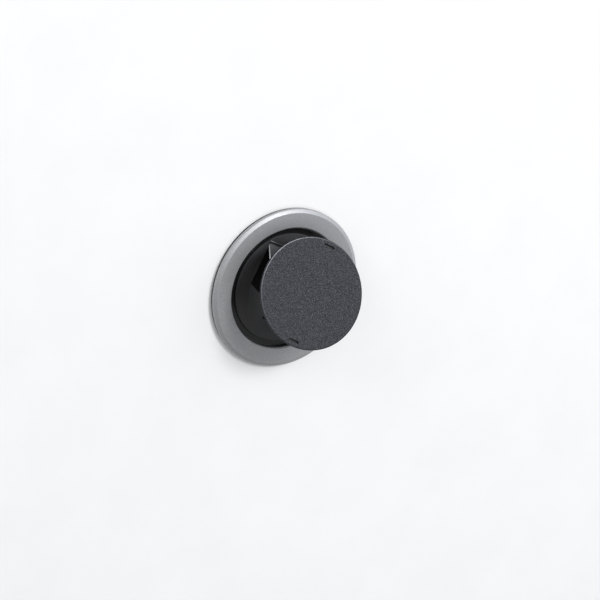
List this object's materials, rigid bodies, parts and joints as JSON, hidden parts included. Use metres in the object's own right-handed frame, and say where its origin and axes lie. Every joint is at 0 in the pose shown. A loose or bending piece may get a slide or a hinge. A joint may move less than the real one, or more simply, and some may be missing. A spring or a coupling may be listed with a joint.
{
  "type": "phone grip",
  "caption": "Round magnetic phone grip: a thin metal-ringed puck with a dark finger disc on a fold-out arm that tilts, turns and folds flat.",
  "frame": {"origin": "centre of the puck on the face that lies against the phone", "axes": "+Z out of the phone's back through the puck, +Y to the top of the phone, where the arm is hinged, +X to the right seen from the disc's side"},
  "size_m": [0.0562, 0.0562, 0.0238],
  "materials": {
    "pad": "soft matt silicone",
    "chassis": "moulded, satin",
    "deck": "fine moulded texture, satin",
    "liner": "moulded, semi-gloss",
    "ring": "bead-blasted, clear anodised",
    "steel": "plated strip",
    "magnet": "nickel plated",
    "pin_steel": "polished steel",
    "arm": "dark anodised, bright cut edges",
    "block": "dark anodised",
    "carrier": "moulded, satin",
    "washer": "natural acetal",
    "disc": "fine textured dark coat, bright chamfer"
  },
  "bodies": {
    "puck": {"contact_pad": "pad", "chassis": "chassis", "deck_plate": "deck", "recess_liner": "liner", "top_ring": "ring", "shunt_ring": "steel", "magnet_1": "magnet", "magnet_2": "magnet", "magnet_3": "magnet", "magnet_4": "magnet", "magnet_5": "magnet", "magnet_6": "magnet", "magnet_7": "magnet", "magnet_8": "magnet", "magnet_9": "magnet", "magnet_10": "magnet", "magnet_11": "magnet", "magnet_12": "magnet", "catch_magnets": "magnet", "hinge_pin": "pin_steel"},
    "arm": {"arm_plate": "arm"},
    "pin": {"cross_pin": "pin_steel", "pin_clips": "pin_steel"},
    "block": {"pivot_block": "block"},
    "carrier": {"carrier_plate": "carrier", "carrier_lugs": "carrier", "catch_plates": "steel"},
    "disc": {"swivel_rivet": "pin_steel", "slip_washer": "washer", "disc_plate": "disc"}
  },
  "joints": [
    {"name": "arm_fold", "type": "hinge", "parent": "puck", "child": "arm", "pos_m": [0, 0.012, 0.00095], "axis": [1, 0, 0], "range_deg": [0, 44.02]},
    {"name": "pin_slide", "type": "slide", "parent": "arm", "child": "pin", "axis": [0, 0.7193, -0.6947], "range_m": [0, 0.00365]},
    {"name": "disc_tilt", "type": "hinge", "parent": "pin", "child": "block", "pos_m": [0, -0.00512, 0.01748], "axis": [1, 0, 0], "range_deg": [-26.62, 0]},
    {"name": "disc_roll", "type": "hinge", "parent": "block", "child": "carrier", "pos_m": [0, -0.00512, 0.01748], "axis": [0, 0.9542, -0.299], "range_deg": [0, 12.02]},
    {"name": "disc_swivel", "type": "hinge", "parent": "carrier", "child": "disc", "pos_m": [0, 0.00266, 0.01505], "axis": [-0.2079, 0.2925, 0.9334], "continuous": true}
  ],
  "couplings": [
    {"joint": "arm_fold", "follows": "pin_slide", "rad_per_m": 210.4},
    {"joint": "disc_tilt", "follows": "pin_slide", "rad_per_m": -127.19},
    {"joint": "disc_roll", "follows": "pin_slide", "rad_per_m": 57.381}
  ]
}
